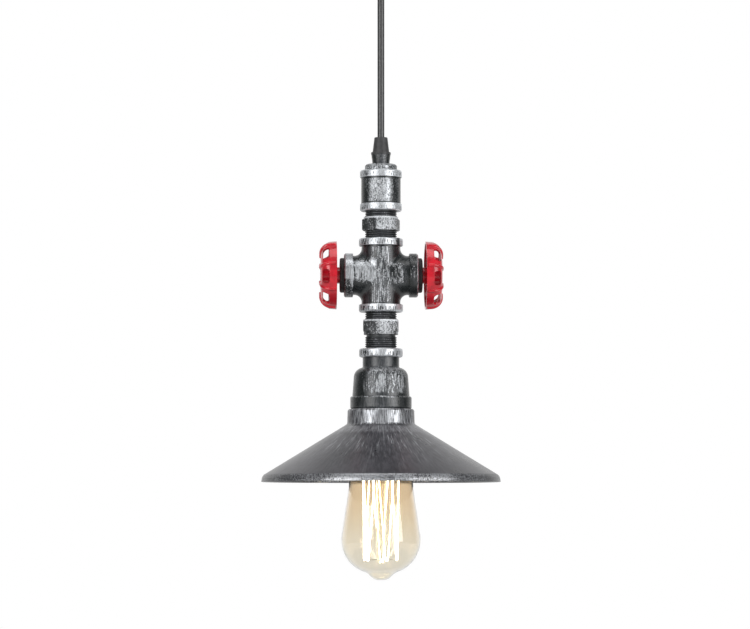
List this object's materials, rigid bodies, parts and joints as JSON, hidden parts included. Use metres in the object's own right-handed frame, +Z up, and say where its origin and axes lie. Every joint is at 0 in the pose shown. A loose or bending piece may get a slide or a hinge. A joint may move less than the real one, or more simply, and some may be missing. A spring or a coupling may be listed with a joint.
{
  "type": "pipe pendant light",
  "caption": "Industrial pendant light of black pipe fittings on a flex, with a red handwheel on each side, a wide conical steel shade and a clear amber bulb with a cage filament.",
  "frame": {"origin": "on the ceiling plane, over the middle of the canopy and of its crossbar", "axes": "+Z up, out of the ceiling side; +X along the crossbar and the cross's side arms, towards the right handwheel; -Y towards the viewer"},
  "size_m": [0.2004, 0.2004, 0.5389],
  "materials": {
    "black_fitting": "black with dry-brushed silver",
    "black_plug": "matte",
    "dark_steel": "satin",
    "shade_grey": "satin, brushed",
    "red_enamel": "glossy",
    "zinc_steel": "zinc plated",
    "black_nut": "satin",
    "grip_plastic": "matte",
    "rubber": "matte",
    "flex_sheath": "satin",
    "live_insulation": "satin",
    "neutral_insulation": "satin",
    "earth_insulation": "satin",
    "terminal_nylon": "matte",
    "porcelain": "glazed ceramic",
    "brass": "bright",
    "black_glass": "opaque",
    "amber_glass": "clear, amber tint",
    "clear_glass": "clear",
    "filament_wire": "glowing wire",
    "support_wire": "bare wire"
  },
  "bodies": {
    "canopy": {"canopy_cup": "dark_steel", "ceiling_crossbar": "zinc_steel", "canopy_studs": "zinc_steel", "stud_lock_nuts": "zinc_steel", "canopy_ball_nuts": "black_nut", "earth_screw": "zinc_steel", "terminal_block": "terminal_nylon", "terminal_block_screws": "zinc_steel", "canopy_grip_body": "grip_plastic", "canopy_grip_collet": "rubber", "canopy_grip_cap": "grip_plastic", "canopy_grip_nut": "zinc_steel", "flex_tail": "flex_sheath", "canopy_live_core": "live_insulation", "canopy_neutral_core": "neutral_insulation", "canopy_earth_core": "earth_insulation"},
    "flex": {"flex_cord": "flex_sheath", "lamp_grip_body": "grip_plastic", "lamp_grip_collet": "rubber", "lamp_grip_cap": "grip_plastic", "lamp_grip_nut": "zinc_steel"},
    "lamp": {"top_plug": "black_fitting", "coupling": "black_fitting", "upper_nipple": "black_fitting", "cross_fitting": "black_fitting", "left_end_plug": "black_plug", "left_spindle": "zinc_steel", "left_wheel_washer": "zinc_steel", "left_wheel_nut": "zinc_steel", "right_end_plug": "black_plug", "right_spindle": "zinc_steel", "right_wheel_washer": "zinc_steel", "right_wheel_nut": "zinc_steel", "lower_nipple": "black_fitting", "bell_reducer": "black_fitting", "shade": "shade_grey", "shade_clamp_ring": "dark_steel", "shade_gasket": "rubber", "lampholder_bracket": "zinc_steel", "lampholder_body": "porcelain", "lampholder_shell": "brass", "lampholder_screws": "zinc_steel", "lampholder_terminals": "brass", "live_core": "live_insulation", "neutral_core": "neutral_insulation", "earth_core": "earth_insulation"},
    "left_wheel": {"left_handwheel": "red_enamel"},
    "right_wheel": {"right_handwheel": "red_enamel"},
    "holder_contact": {"lampholder_contact": "brass"},
    "bulb_carriage": {"bulb_button": "brass"},
    "bulb": {"bulb_insulator": "black_glass", "bulb_cap": "brass", "bulb_glass": "amber_glass", "bulb_stem": "clear_glass", "bulb_filament": "filament_wire", "bulb_support_wires": "support_wire", "bulb_lead_wires": "support_wire"}
  },
  "joints": [
    {"name": "pendant_swing", "type": "hinge", "parent": "canopy", "child": "flex", "pos_m": [0, 0, -0.046], "axis": [0, 1, 0], "range_deg": [-20, 20]},
    {"name": "lamp_turn", "type": "hinge", "parent": "flex", "child": "lamp", "pos_m": [0, 0, -0.1902], "axis": [0, 0, 1], "range_deg": [-180, 180]},
    {"name": "left_wheel_turn", "type": "hinge", "parent": "lamp", "child": "left_wheel", "pos_m": [-0.045, 0, -0.2838], "axis": [-1, 0, 0], "continuous": true},
    {"name": "right_wheel_turn", "type": "hinge", "parent": "lamp", "child": "right_wheel", "pos_m": [0.045, 0, -0.2838], "axis": [1, 0, 0], "continuous": true},
    {"name": "contact_press", "type": "slide", "parent": "lamp", "child": "holder_contact", "axis": [0, 0, 1], "range_m": [0, 0.0015], "stiffness_N_per_m": 300, "springref_m": -0.0005},
    {"name": "bulb_unscrew_drop", "type": "slide", "parent": "lamp", "child": "bulb_carriage", "axis": [0, 0, -1], "range_m": [0, 0.0146]},
    {"name": "bulb_unscrew_turn", "type": "hinge", "parent": "bulb_carriage", "child": "bulb", "pos_m": [0, 0, -0.4], "axis": [0, 0, -1], "range_deg": [0, 1440]}
  ],
  "couplings": [
    {"joint": "bulb_unscrew_drop", "follows": "bulb_unscrew_turn", "m_per_rad": 0.00057757}
  ]
}
